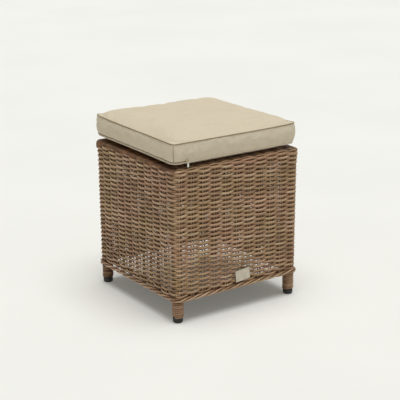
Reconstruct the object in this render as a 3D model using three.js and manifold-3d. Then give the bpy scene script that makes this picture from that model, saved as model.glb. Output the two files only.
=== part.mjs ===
// Outdoor ottoman footstool: a welded aluminium tube frame, woven wicker sides and seat,
// strand-wrapped legs on black glides, a bare plate, and a lift-off box cushion with a zip.
// Millimetres, +Z up, origin on the floor under the middle. The plate is on the -Y side.

import * as THREE from 'three';
import { mergeVertices } from 'three/addons/utils/BufferGeometryUtils.js';
import Module from 'manifold-3d';

const wasm = await Module();
wasm.setup();

// Frame
const legSpacing = 364;
const legTube = 20;
const legWall = 1.5;
const seatHeight = 418;
const topRailTube = 25;
const topRailWall = 1.5;
const bottomRailTube = 14;
const bottomRailWall = 1.2;
const slatTube = 16;
const slatWall = 1.2;
const slatCount = 3;
const slatPitch = 91;

// Wicker
const weave = 8;
const flarePower = 1.25;
const borderBottom = 61.5;
const borderHeight = 11.4;
const borderProud = 3.6;
const rollEnd = THREE.MathUtils.degToRad(75);
const shoulderProud = 2;
const shoulderRound = 11.5;
const shoulderFade = 17;
const courseCount = 26;
const courseDepth = 3;
const wrapStrand = 4.2;
const wrapLeastGap = 0.7;

// Glides
const glideHeight = 13;
const glideWall = 3.2;
const glideFloor = 3.5;
const glideRound = 4.5;

// Plate
const plateWidth = 46;
const plateHeight = 32;
const plateThickness = 1.2;
const plateCorner = 3;
const plateAcross = 13.3;
const plateRise = 35;
const plateTurn = THREE.MathUtils.degToRad(-6);
const prongWidth = 5;
const prongThickness = 1;
const prongReturn = 7;
const prongEdge = 6;

// Cushion
const cushionInset = 8.3;
const cushionCorner = 7;
const edgeLift = 14.7;
const flatInset = 38;
const boxingHeight = 51;
const boxingBulge = 4.5;
const boxingStep = 0.5;
const drawIn = 4;
const crown = 20;
const crownPower = 4;
const cover = 1;
const piping = 4.2;

// Zip
const zipWrap = 40.5;
const zipWidth = 6.6;
const zipThickness = 1.2;
const sliderLength = 8;
const sliderWidth = 8.4;
const sliderNose = 5.2;
const sliderThickness = 2.2;
const bridgeGap = 1.6;
const bridgeBar = 1.2;
const bridgeWidth = 1.4;
const bridgeLength = 7;
const pullWidth = 5;
const pullLength = 15;
const pullThickness = 1;
const pullWindow = 5;
const pullRail = 1;

// Fits and facets
const clearance = 0.3;
const overrun = 5;
const tubeSides = 20;
const cutterSides = 28;
const cornerSteps = 2;
const rollSteps = 5;
const borderSides = 10;
const wrapSteps = 16;
const wrapSides = 5;
const glideSides = 20;
const glideSteps = 3;
const pipingSides = 6;
const cushionCornerSteps = 2;
const boxingSteps = 4;
const plateSteps = 3;

// Shares that shape the cushion's rings, of its half width and of its flat inset
const crownRingShares = [0.95, 0.88, 0.76, 0.52, 0.26];
const undersideRingShares = [0.3, 0.62, 1];
const sideMiddleShare = 0.34;

// One course of the weave, two rows high: shares of its height and of its depth
const courseShares = [[0, 1], [0.28, 0], [0.72, 0]];

// Places worked out from the sizes above
const half = legSpacing / 2;
const legRadius = legTube / 2;
const topRailRadius = topRailTube / 2;
const rollInner = topRailRadius + clearance;
const rollOuter = rollInner + weave;
const railHeight = seatHeight - rollOuter;
const wovenInner = legRadius + clearance;
const wovenOuter = wovenInner + weave;
const wovenBottom = borderBottom + borderHeight + clearance;
const borderMiddle = borderBottom + borderHeight / 2;
const bottomRailHeight = borderBottom + clearance + bottomRailTube / 2;
const cushionHalf = half + rollOuter - cushionInset;
const cushionBottom = seatHeight + clearance;
const bottomSeam = cushionBottom + edgeLift;
const topSeam = bottomSeam + boxingHeight;
const pipingReach = piping / 2 + clearance;
const boxingFoot = bottomSeam + pipingReach;
const boxingHead = topSeam - pipingReach;
const zipEnd = -(cushionHalf - zipWrap);
const zipMiddle = boxingFoot + zipWidth / 2;
const zipShare = (zipWrap - cushionCorner) / (cushionHalf - cushionCorner) / 2;

const materials = {
  frame: { color: 0x4a3a2c, roughness: 0.5, metalness: 0.6 },
  wicker: { color: 0x82694f, roughness: 0.55, metalness: 0 },
  wrap: { color: 0x7a5a40, roughness: 0.55, metalness: 0 },
  glide: { color: 0x141312, roughness: 0.6, metalness: 0 },
  plate: { color: 0xb9b3a4, roughness: 0.45, metalness: 0.7 },
  foam: { color: 0xe8dfc2, roughness: 0.95, metalness: 0 },
  cover: { color: 0xcfc4a8, roughness: 0.9, metalness: 0 },
  zip: { color: 0xb9ad92, roughness: 0.8, metalness: 0 },
  metal: { color: 0xd8d6d0, roughness: 0.35, metalness: 0.9 },
};

// Turns points and faces into a geometry whose faces point out
function closedGeometry(points, faces) {
  const volume = faces.reduce((sum, [a, b, c]) => {
    const cross = new THREE.Vector3().crossVectors(points[b], points[c]);
    return sum + points[a].dot(cross);
  }, 0);
  const outward = volume > 0 ? faces : faces.map(([a, b, c]) => [a, c, b]);
  const geometry = new THREE.BufferGeometry();
  geometry.setAttribute('position', new THREE.Float32BufferAttribute(
    points.flatMap((p) => [p.x, p.y, p.z]), 3));
  geometry.setIndex(outward.flat());
  geometry.computeVertexNormals();
  return geometry;
}

// Faces that close one end of a loft: cut from the profile, or a fan about the ring's middle
function capFaces(points, start, count, profile) {
  if (profile) {
    const turned = THREE.ShapeUtils.area(profile) > 0;
    return THREE.ShapeUtils.triangulateShape(profile, []).map(([a, b, c]) => {
      const corner = [profile[a], profile[b], profile[c]];
      const same = (THREE.ShapeUtils.area(corner) > 0) === turned;
      return same ? [start + a, start + b, start + c] : [start + a, start + c, start + b];
    });
  }
  const middle = new THREE.Vector3();
  for (let i = 0; i < count; i += 1) middle.add(points[start + i]);
  points.push(middle.divideScalar(count));
  const hub = points.length - 1;
  return Array.from({ length: count }, (_, i) => [start + i, start + ((i + 1) % count), hub]);
}

// Joins rings of equally many points into one closed body
function loft(rings, { loop = false, profile = null } = {}) {
  const count = rings[0].length;
  const points = rings.flat();
  const faces = [];
  const bands = loop ? rings.length : rings.length - 1;
  for (let r = 0; r < bands; r += 1) {
    const here = r * count;
    const next = ((r + 1) % rings.length) * count;
    for (let i = 0; i < count; i += 1) {
      const j = (i + 1) % count;
      faces.push([here + i, here + j, next + j], [here + i, next + j, next + i]);
    }
  }
  if (!loop) {
    const first = capFaces(points, 0, count, profile);
    const last = capFaces(points, (rings.length - 1) * count, count, profile);
    faces.push(...first.map(([a, b, c]) => [a, c, b]), ...last);
  }
  return closedGeometry(points, faces);
}

// Booleans
function toManifold(geometry) {
  const plain = geometry.clone();
  plain.deleteAttribute('normal');
  plain.deleteAttribute('uv');
  const merged = mergeVertices(plain);
  return new wasm.Manifold(new wasm.Mesh({
    numProp: 3,
    vertProperties: new Float32Array(merged.attributes.position.array),
    triVerts: new Uint32Array(merged.index.array),
  }));
}

function toGeometry(manifold) {
  const mesh = manifold.getMesh();
  const geometry = new THREE.BufferGeometry();
  geometry.setAttribute('position', new THREE.Float32BufferAttribute(mesh.vertProperties, 3));
  geometry.setIndex(Array.from(mesh.triVerts));
  geometry.computeVertexNormals();
  return geometry;
}

function cut(geometry, cutters) {
  return toGeometry(cutters.reduce((body, cutter) => body.subtract(toManifold(cutter)),
    toManifold(geometry)));
}

function join(geometries) {
  return toGeometry(geometries.map(toManifold).reduce((all, one) => all.add(one)));
}

// A solid or hollow round bar along Z from z = 0
function roundBar(radius, length, sides, bore = 0) {
  const shape = new THREE.Shape().absarc(0, 0, radius, 0, 2 * Math.PI);
  if (bore > 0) shape.holes.push(new THREE.Path().absarc(0, 0, bore, 0, 2 * Math.PI, true));
  const bar = new THREE.ExtrudeGeometry(shape, {
    depth: length, bevelEnabled: false, curveSegments: sides / 2,
  });
  return bar;
}

// A rounded rectangle in X and Y about the origin
function roundedRectangle(width, height, corner) {
  const x = width / 2;
  const y = height / 2;
  const shape = new THREE.Shape();
  shape.moveTo(-x + corner, -y);
  shape.lineTo(x - corner, -y);
  shape.absarc(x - corner, -y + corner, corner, -Math.PI / 2, 0);
  shape.lineTo(x, y - corner);
  shape.absarc(x - corner, y - corner, corner, 0, Math.PI / 2);
  shape.lineTo(-x + corner, y);
  shape.absarc(-x + corner, y - corner, corner, Math.PI / 2, Math.PI);
  shape.lineTo(-x, -y + corner);
  shape.absarc(-x + corner, -y + corner, corner, Math.PI, 1.5 * Math.PI);
  return shape;
}

// A place on a path round the stool: the middle that a profile turns about, and which way is out
function station(x, y, angle, slip = 0) {
  const out = new THREE.Vector2(Math.cos(angle), Math.sin(angle));
  const middle = new THREE.Vector2(x - out.y * slip, y + out.x * slip);
  return { middle, out };
}

function cornerStations(x, y, from, to, steps) {
  return Array.from({ length: steps + 1 }, (_, i) =>
    station(x, y, from + ((to - from) * i) / steps));
}

function placeProfile({ middle, out }, profile) {
  return profile.map((p) => new THREE.Vector3(
    middle.x + out.x * p.x, middle.y + out.y * p.x, p.y));
}

// The -Y side, from the middle of one corner to the middle of the next, with half a gap at each end
function sideStations() {
  const eighth = Math.PI / 4;
  const left = cornerStations(-half, -half, -3 * eighth, -2 * eighth, cornerSteps);
  const right = cornerStations(half, -half, -2 * eighth, -eighth, cornerSteps);
  left[0] = station(-half, -half, -3 * eighth, clearance / 2);
  right[cornerSteps] = station(half, -half, -eighth, -clearance / 2);
  return [...left, ...right];
}

function sweepSide(profile) {
  const rings = sideStations().map((place) => placeProfile(place, profile));
  return loft(rings, { profile });
}

// Frame: each leg is an open tube that stands in its glide and reaches into the top corner
function legGeometry() {
  const foot = glideFloor + clearance;
  const reach = Math.sqrt(Math.max(topRailRadius ** 2 - legRadius ** 2, 0));
  const leg = roundBar(legRadius, railHeight + reach - foot, tubeSides, legRadius - legWall);
  return leg.translate(0, 0, foot);
}

// A rail on the -Y side: its ends meet the next rails on the slant and are coped to the legs
function railGeometry(tube, wall, height) {
  const radius = tube / 2;
  const rail = roundBar(radius, legSpacing, tubeSides, radius - wall);
  rail.rotateY(Math.PI / 2).translate(-half, 0, 0);
  const place = rail.attributes.position;
  for (let i = 0; i < place.count; i += 1) {
    const inward = Math.max(place.getY(i), 0) + clearance / 2;
    place.setX(i, place.getX(i) - Math.sign(place.getX(i)) * inward);
  }
  rail.translate(0, -half, height);
  const cutters = [-half, half].map((x) =>
    roundBar(legRadius + clearance, tube + 2 * overrun, cutterSides)
      .translate(x, -half, height - radius - overrun));
  return cut(rail, cutters);
}

// A seat slat: a tube under the woven seat, coped to the side rails
function slatGeometry(y) {
  const radius = slatTube / 2;
  const height = railHeight + topRailRadius - radius;
  const slat = roundBar(radius, legSpacing, tubeSides, radius - slatWall);
  slat.rotateY(Math.PI / 2).translate(-half, y, height);
  const cutters = [-half, half].map((x) =>
    roundBar(topRailRadius + clearance, slatTube + 2 * overrun, cutterSides)
      .rotateX(Math.PI / 2)
      .translate(x, y + radius + overrun, railHeight));
  return cut(slat, cutters);
}

// Wicker: a side leans out a little from the border, then rolls over the top rail
// How far the woven face, which flares towards the top, stands out from the legs at a height
function wovenFace(height) {
  const share = (height - wovenBottom) / (railHeight - wovenBottom);
  return wovenOuter + (rollOuter - wovenOuter) * share ** flarePower;
}

function sideProfile() {
  const arc = (x, z, radius, end) => Array.from({ length: rollSteps + 1 }, (_, i) => {
    const angle = (end * i) / rollSteps;
    return new THREE.Vector2(x + radius * Math.cos(angle), z + radius * Math.sin(angle));
  });
  const shoulder = rollOuter + shoulderProud;
  const foot = railHeight - shoulderFade;
  const course = (foot - wovenBottom) / courseCount;
  const courses = Array.from({ length: courseCount }, (_, i) => i).flatMap((i) =>
    courseShares.map(([rise, sink]) => {
      const height = wovenBottom + course * (i + rise);
      return new THREE.Vector2(wovenFace(height) - courseDepth * sink, height);
    }));
  return [
    new THREE.Vector2(wovenInner, wovenBottom),
    ...courses,
    new THREE.Vector2(wovenFace(foot) - courseDepth, foot),
    new THREE.Vector2(shoulder, railHeight),
    ...arc(shoulder - shoulderRound, seatHeight - shoulderRound, shoulderRound, Math.PI / 2),
    new THREE.Vector2(rollInner * Math.cos(rollEnd), seatHeight),
    ...arc(0, railHeight, rollInner, rollEnd).reverse(),
  ];
}

function borderProfile() {
  const outer = wovenOuter + borderProud;
  const depth = outer - wovenInner;
  return Array.from({ length: borderSides }, (_, i) => {
    const angle = (2 * Math.PI * i) / borderSides;
    return new THREE.Vector2(
      outer - depth / 2 + (depth / 2) * Math.cos(angle),
      borderMiddle + (borderHeight / 2) * Math.sin(angle));
  });
}

function seatGeometry() {
  const reach = rollInner * Math.cos(rollEnd) - clearance;
  const width = legSpacing + 2 * reach;
  const bottom = railHeight + topRailRadius + clearance;
  const seat = new THREE.ExtrudeGeometry(roundedRectangle(width, width, reach), {
    depth: seatHeight - bottom, bevelEnabled: false, curveSegments: cornerSteps,
  });
  return seat.translate(0, 0, bottom);
}

// The strand wound round a leg between the glide and the border, as one unbroken tube
function wrapPath() {
  const radius = legRadius + clearance + wrapStrand / 2 + clearance;
  const low = glideHeight + 2 * clearance + wrapStrand / 2;
  const high = borderBottom - 2 * clearance - wrapStrand / 2;
  const turns = Math.floor((high - low) / (wrapStrand + wrapLeastGap));
  const count = turns * wrapSteps;
  const places = Array.from({ length: count + 1 }, (_, i) => {
    const angle = (2 * Math.PI * i) / wrapSteps;
    const z = low + ((high - low) * i) / count;
    const point = new THREE.Vector3(radius * Math.cos(angle), radius * Math.sin(angle), z);
    const out = new THREE.Vector3(Math.cos(angle), Math.sin(angle), 0);
    const rise = (high - low) / turns / (2 * Math.PI);
    const along = new THREE.Vector3(-out.y * radius, out.x * radius, rise).normalize();
    return { point, out, along };
  });
  const first = places[0];
  const last = places[count];
  const lead = (place, sign) => ({
    ...place, point: place.point.clone().addScaledVector(place.along, sign * wrapStrand),
  });
  return [lead(first, -1), ...places, lead(last, 1)];
}

function leastGap(path) {
  let least = Infinity;
  for (let i = 0; i < path.length; i += 1) {
    for (let j = i + wrapSteps / 2; j < path.length; j += 1) {
      least = Math.min(least, path[i].point.distanceTo(path[j].point));
    }
  }
  return least - wrapStrand;
}

function wrapGeometry(path) {
  const rings = path.map(({ point, out, along }) => {
    const side = new THREE.Vector3().crossVectors(along, out);
    return Array.from({ length: wrapSides }, (_, i) => {
      const angle = (2 * Math.PI * i) / wrapSides;
      return point.clone()
        .addScaledVector(out, (wrapStrand / 2) * Math.cos(angle))
        .addScaledVector(side, (wrapStrand / 2) * Math.sin(angle));
    });
  });
  return loft(rings);
}

// A glide: a moulded cup that the leg stands in, rounded where it meets the floor
function glideGeometry() {
  const bore = legRadius + clearance;
  const outer = bore + glideWall;
  const round = Math.min(glideRound, glideHeight / 2, glideWall + bore / 2);
  const edge = Array.from({ length: glideSteps + 1 }, (_, i) => {
    const angle = ((Math.PI / 2) * i) / glideSteps;
    return new THREE.Vector2(
      outer - round + round * Math.sin(angle), round - round * Math.cos(angle));
  });
  return new THREE.LatheGeometry([
    new THREE.Vector2(0, 0),
    ...edge,
    new THREE.Vector2(outer, glideHeight),
    new THREE.Vector2(bore, glideHeight),
    new THREE.Vector2(bore, glideFloor),
    new THREE.Vector2(0, glideFloor),
  ], glideSides).rotateX(Math.PI / 2);
}

// Plate: bare, with two prongs that pass through the weave and fold behind it
const wovenLean = Math.atan2(rollOuter - wovenOuter, railHeight - wovenBottom);

function platePlacement() {
  const height = borderBottom + plateRise;
  const face = half + wovenFace(height);
  const gap = clearance / Math.cos(wovenLean);
  return new THREE.Matrix4()
    .makeTranslation(plateAcross, -face - gap, height)
    .multiply(new THREE.Matrix4().makeRotationX(wovenLean))
    .multiply(new THREE.Matrix4().makeRotationY(plateTurn));
}

const prongPlaces = [-1, 1].map((side) => side * (plateWidth / 2 - prongEdge));

function box(width, depth, height) {
  return new THREE.BoxGeometry(width, depth, height);
}

function plateGeometry() {
  const outline = roundedRectangle(plateWidth, plateHeight, plateCorner);
  const plate = new THREE.ExtrudeGeometry(outline, {
    depth: plateThickness, bevelEnabled: false, curveSegments: plateSteps,
  }).rotateX(Math.PI / 2);
  const through = weave + 2 * clearance + prongThickness;
  const prongs = prongPlaces.flatMap((x) => {
    const inward = -Math.sign(x) * (prongReturn / 2 - prongThickness / 2);
    return [
      box(prongThickness, through + plateThickness, prongWidth)
        .translate(x, (through - plateThickness) / 2, 0),
      box(prongReturn, prongThickness, prongWidth)
        .translate(x + inward, through - prongThickness / 2, 0),
    ];
  });
  return join([plate, ...prongs]);
}

function prongSlots() {
  const depth = weave + 2 * overrun;
  return prongPlaces.map((x) =>
    box(prongThickness + 2 * clearance, depth, prongWidth + 2 * clearance)
      .translate(x, weave / 2, 0)
      .applyMatrix4(platePlacement()));
}

// Cushion: a rounded square path whose sides draw in between the corners
function cushionStations() {
  const centre = cushionHalf - cushionCorner;
  const shares = [zipShare, sideMiddleShare, 1 - sideMiddleShare, 1 - zipShare];
  return [0, 1, 2, 3].flatMap((k) => {
    const origin = new THREE.Vector2();
    const from = -Math.PI + (k * Math.PI) / 2;
    const here = new THREE.Vector2(-centre, -centre).rotateAround(origin, (k * Math.PI) / 2);
    const next = here.clone().rotateAround(origin, Math.PI / 2);
    const corner = cornerStations(here.x, here.y, from, from + Math.PI / 2, cushionCornerSteps);
    const side = shares.map((share) => {
      const straight = here.clone().lerp(next, share);
      const place = station(straight.x, straight.y, from + Math.PI / 2);
      place.middle.addScaledVector(place.out, -drawIn * Math.sin(Math.PI * share) ** 2);
      return { ...place, straight };
    });
    return [...corner.map((place) => ({ ...place, straight: place.middle })), ...side];
  });
}

// A ring of the cushion: its height follows where each point would be on a true square
function cushionRing(share, height) {
  return cushionStations().map(({ middle, straight, out }) => {
    const place = middle.clone().addScaledVector(out, cushionCorner).multiplyScalar(share);
    const square = straight.clone().addScaledVector(out, cushionCorner)
      .multiplyScalar(share / cushionHalf);
    return new THREE.Vector3(place.x, place.y, height(square, share));
  });
}

// Crowned on top, drawn up to its seam underneath and flat where it rests
function crownAt(square) {
  const fall = (t) => 1 - Math.min(Math.abs(t), 1) ** crownPower;
  return topSeam + crown * fall(square.x) * fall(square.y);
}

function undersideAt(square, ringShare) {
  const share = Math.min(((1 - ringShare) * cushionHalf) / flatInset, 1);
  return bottomSeam - edgeLift * Math.sin((share * Math.PI) / 2);
}

const panelShare = (cushionHalf - pipingReach) / cushionHalf;
const crownShares = [panelShare, ...crownRingShares];
const undersideShares = [panelShare,
  ...undersideRingShares.map((share) => 1 - (share * flatInset) / cushionHalf)];

// The inner face has its rings in the core's order, so both split into the same triangles
function panelGeometry(shares, height, inside) {
  const outer = shares.map((share) => cushionRing(share, height));
  const inner = shares.map((share) =>
    cushionRing(share, (square) => height(square, share) + inside));
  return inside < 0 ? loft([...outer.reverse(), ...inner]) : loft([...inner.reverse(), ...outer]);
}

function boxingAt(z) {
  const share = (z - boxingFoot) / (boxingHead - boxingFoot);
  return cushionCorner + boxingStep + boxingBulge * Math.sin(Math.PI * share) ** 2;
}

function boxingLevels() {
  const zipTop = boxingFoot + zipWidth;
  const above = Array.from({ length: boxingSteps + 1 }, (_, i) =>
    zipTop + ((boxingHead - zipTop) * i) / boxingSteps);
  return [boxingFoot, ...above];
}

function boxingGeometry() {
  const outer = boxingLevels().map((z) => new THREE.Vector2(boxingAt(z), z));
  const inner = outer.map((p) => new THREE.Vector2(p.x - cover, p.y)).reverse();
  const profile = [...outer, ...inner];
  return loft(cushionStations().map((place) => placeProfile(place, profile)), { loop: true });
}

function coreGeometry() {
  const skin = cover + clearance;
  const sides = boxingLevels().map((z) => cushionStations().map((place) =>
    placeProfile(place, [new THREE.Vector2(boxingAt(z) - skin, z)])[0]));
  const within = (share) => share - clearance / cushionHalf;
  const lower = undersideShares.map((share) =>
    cushionRing(within(share), (square, at) => undersideAt(square, at) + skin)).reverse();
  const upper = crownShares.map((share) =>
    cushionRing(within(share), (square) => crownAt(square) - skin));
  return loft([...lower, ...sides, ...upper]);
}

function pipingGeometry(z) {
  const profile = Array.from({ length: pipingSides }, (_, i) => {
    const angle = (2 * Math.PI * i) / pipingSides;
    return new THREE.Vector2(
      cushionCorner + (piping / 2) * Math.cos(angle), z + (piping / 2) * Math.sin(angle));
  });
  return loft(cushionStations().map((place) => placeProfile(place, profile)), { loop: true });
}

// Zip: its tape runs along the -X side and a little way round both corners of it
function zipTapeGeometry() {
  const places = cushionStations();
  const lastSide = places.slice((places.length * 3) / 4 - 1);
  const path = [...lastSide, ...places.slice(0, cushionCornerSteps + 2)];
  const edge = [boxingFoot, boxingFoot + zipWidth];
  const inner = edge.map((z) => new THREE.Vector2(boxingAt(z) + clearance, z));
  const outer = inner.map((p) => new THREE.Vector2(p.x + zipThickness, p.y)).reverse();
  const profile = [...inner, ...outer];
  return loft(path.map((place) => placeProfile(place, profile)), { profile });
}

// Where the slider parks, and how far out from the cushion's edge each of its layers is
const sliderBack = boxingAt(boxingFoot + zipWidth) - cushionCorner + zipThickness + 2 * clearance;
const sliderFace = cushionHalf + sliderBack + sliderThickness;
const sliderPlace = new THREE.Vector3(
  zipEnd - sliderLength / 2 - clearance, -cushionHalf - sliderBack, zipMiddle);
const pivotPlace = new THREE.Vector3(
  sliderPlace.x,
  -sliderFace - bridgeGap / 2,
  sliderPlace.z - bridgeLength / 2 + bridgeBar + clearance + pullRail / 2);

function sliderGeometry() {
  const end = sliderLength / 2;
  const wide = sliderWidth / 2;
  const narrow = sliderNose / 2;
  const plan = new THREE.Shape([
    new THREE.Vector2(-end, -wide), new THREE.Vector2(0, -wide),
    new THREE.Vector2(end, -narrow), new THREE.Vector2(end, narrow),
    new THREE.Vector2(0, wide), new THREE.Vector2(-end, wide),
  ]);
  const plate = new THREE.ExtrudeGeometry(plan, { depth: sliderThickness, bevelEnabled: false })
    .rotateX(Math.PI / 2);
  const out = sliderThickness + bridgeGap;
  const bar = box(bridgeWidth, bridgeBar, bridgeLength)
    .translate(0, -out - bridgeBar / 2, 0);
  const posts = [-1, 1].map((side) =>
    box(bridgeWidth, out + bridgeBar - sliderThickness / 2, bridgeBar)
      .translate(0, -(out + bridgeBar + sliderThickness / 2) / 2,
        side * (bridgeLength / 2 - bridgeBar / 2)));
  return join([plate, bar, ...posts]);
}

function pullGeometry() {
  const top = pullRail / 2;
  const tab = new THREE.ExtrudeGeometry(
    roundedRectangle(pullWidth, pullLength, pullWidth / 4),
    { depth: pullThickness, bevelEnabled: false, curveSegments: plateSteps })
    .rotateX(Math.PI / 2)
    .translate(0, pullThickness / 2, top - pullLength / 2);
  const width = bridgeWidth + 4 * clearance;
  const window = box(width, pullThickness + 2 * overrun, pullWindow)
    .translate(0, 0, -top - pullWindow / 2);
  return cut(tab, [window]);
}

// Assembly
const stool = new THREE.Group();

function addPart(parent, name, geometry, finish) {
  const mesh = new THREE.Mesh(geometry, new THREE.MeshStandardMaterial(materials[finish]));
  mesh.name = name;
  parent.add(mesh);
  return mesh;
}

const sides = ['front', 'right', 'back', 'left'];
const corners = ['front_left', 'front_right', 'back_right', 'back_left'];
const topRail = railGeometry(topRailTube, topRailWall, railHeight);
const bottomRail = railGeometry(bottomRailTube, bottomRailWall, bottomRailHeight);
const woven = sweepSide(sideProfile());
const pierced = cut(woven, prongSlots());
const border = sweepSide(borderProfile());
const leg = legGeometry();
const glide = glideGeometry();
const windingPath = wrapPath();
const winding = wrapGeometry(windingPath);
console.log(`leg wrap: least gap to itself ${leastGap(windingPath).toFixed(2)} mm`);

sides.forEach((side, k) => {
  const group = new THREE.Group();
  group.rotation.z = (k * Math.PI) / 2;
  addPart(group, `top_rail_${side}`, topRail, 'frame');
  addPart(group, `bottom_rail_${side}`, bottomRail, 'frame');
  addPart(group, `side_weave_${side}`, side === 'front' ? pierced : woven, 'wicker');
  addPart(group, `border_${side}`, border, 'wicker');
  const corner = new THREE.Group();
  corner.position.set(-half, -half, 0);
  addPart(corner, `leg_${corners[k]}`, leg, 'frame');
  addPart(corner, `glide_${corners[k]}`, glide, 'glide');
  addPart(corner, `leg_wrap_${corners[k]}`, winding, 'wrap');
  group.add(corner);
  stool.add(group);
});

for (let i = 0; i < slatCount; i += 1) {
  const y = (i - (slatCount - 1) / 2) * slatPitch;
  addPart(stool, `seat_slat_${i + 1}`, slatGeometry(y), 'frame');
}
addPart(stool, 'seat_weave', seatGeometry(), 'wicker');

const plateMesh = addPart(stool, 'plate', plateGeometry(), 'plate');
plateMesh.applyMatrix4(platePlacement());

const cushion = new THREE.Group();
addPart(cushion, 'cushion_core', coreGeometry(), 'foam');
addPart(cushion, 'cushion_top', panelGeometry(crownShares, crownAt, -cover), 'cover');
addPart(cushion, 'cushion_bottom', panelGeometry(undersideShares, undersideAt, cover), 'cover');
addPart(cushion, 'cushion_boxing', boxingGeometry(), 'cover');
addPart(cushion, 'piping_top', pipingGeometry(topSeam), 'cover');
addPart(cushion, 'piping_bottom', pipingGeometry(bottomSeam), 'cover');
addPart(cushion, 'zip_tape', zipTapeGeometry(), 'zip');
addPart(cushion, 'zip_slider', sliderGeometry(), 'metal').position.copy(sliderPlace);
addPart(cushion, 'zip_pull', pullGeometry(), 'metal').position.copy(pivotPlace);
stool.add(cushion);

export default stool;
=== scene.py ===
"""Looks for the outdoor ottoman footstool: woven strands, wound legs, box cushion, floor and light."""

import math

import bpy
import numpy as np
from mathutils import Matrix, Vector


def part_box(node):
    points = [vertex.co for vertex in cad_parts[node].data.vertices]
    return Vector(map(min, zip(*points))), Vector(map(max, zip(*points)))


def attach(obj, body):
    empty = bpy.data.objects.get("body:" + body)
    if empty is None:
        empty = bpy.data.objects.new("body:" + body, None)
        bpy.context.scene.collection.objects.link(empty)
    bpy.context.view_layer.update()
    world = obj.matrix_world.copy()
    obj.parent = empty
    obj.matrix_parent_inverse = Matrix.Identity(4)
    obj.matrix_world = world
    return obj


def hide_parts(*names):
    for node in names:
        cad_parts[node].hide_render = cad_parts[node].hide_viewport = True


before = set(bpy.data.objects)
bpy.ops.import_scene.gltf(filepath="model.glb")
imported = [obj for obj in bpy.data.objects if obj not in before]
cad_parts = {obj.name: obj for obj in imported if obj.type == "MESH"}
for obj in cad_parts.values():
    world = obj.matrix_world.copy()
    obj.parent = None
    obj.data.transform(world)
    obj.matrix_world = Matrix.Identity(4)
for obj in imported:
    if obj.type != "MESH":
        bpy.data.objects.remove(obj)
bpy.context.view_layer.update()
rng = np.random.default_rng(41)

X, Y, Z = range(3)


# Sizes of the CAD part in metres, read from the boxes of its pieces

def tenth(value):
    """To the nearest tenth of a millimetre."""
    return round(float(value), 4)


def low(node, axis):
    return tenth(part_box(node)[0][axis])


def high(node, axis):
    return tenth(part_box(node)[1][axis])


def centre(node, axis):
    return tenth((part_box(node)[0][axis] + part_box(node)[1][axis]) / 2)


# The stool: u is the distance out from the line through the legs' middles
CLEARANCE = 0.0003
BORDER_PROUD = 0.0036
STRAND = 0.0042
HALF = centre("leg_front_right", X)
SEAT_Z = high("seat_weave", Z)
RAIL_Z = centre("top_rail_front", Z)
ROLL_OUTER = tenth(SEAT_Z - RAIL_Z)
BORDER_HIGH = tenth(low("side_weave_front", Z) - CLEARANCE)
BORDER_LOW = tenth(2 * centre("border_front", Z) - BORDER_HIGH)
BORDER_OUTER = tenth(-low("border_front", Y) - HALF)
BORDER_INNER = 0.0109
WOVEN_OUTER = tenth(BORDER_OUTER - BORDER_PROUD)
PLATE_X = centre("plate", X)
PLATE_Z = centre("plate", Z)

# The side's profile: it flares from the border to a shoulder over the top rail
FLARE = 1.25
SHOULDER = tenth(-low("side_weave_front", Y) - HALF)
SHOULDER_ROUND = 0.0115
SHOULDER_FADE = 0.017
SHOULDER_EASE = (0.0006, 0.006)

# The cushion
PIPING_WIDTH = 0.0042
CUSHION_HALF = tenth(high("piping_top", X) - PIPING_WIDTH / 2)
REST_Z = low("cushion_bottom", Z)
BOTTOM_SEAM = centre("piping_bottom", Z)
TOP_SEAM = centre("piping_top", Z)
ZIP_LOW = low("zip_tape", Z)
ZIP_END = high("zip_tape", X)


# Meshes

def new_mesh(name, verts, faces, smooth=True):
    mesh = bpy.data.meshes.new(name)
    mesh.from_pydata([tuple(v) for v in verts], [], [tuple(f) for f in faces])
    mesh.update()
    mesh.polygons.foreach_set("use_smooth", [smooth] * len(mesh.polygons))
    obj = bpy.data.objects.new(name, mesh)
    bpy.context.scene.collection.objects.link(obj)
    return obj


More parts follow.
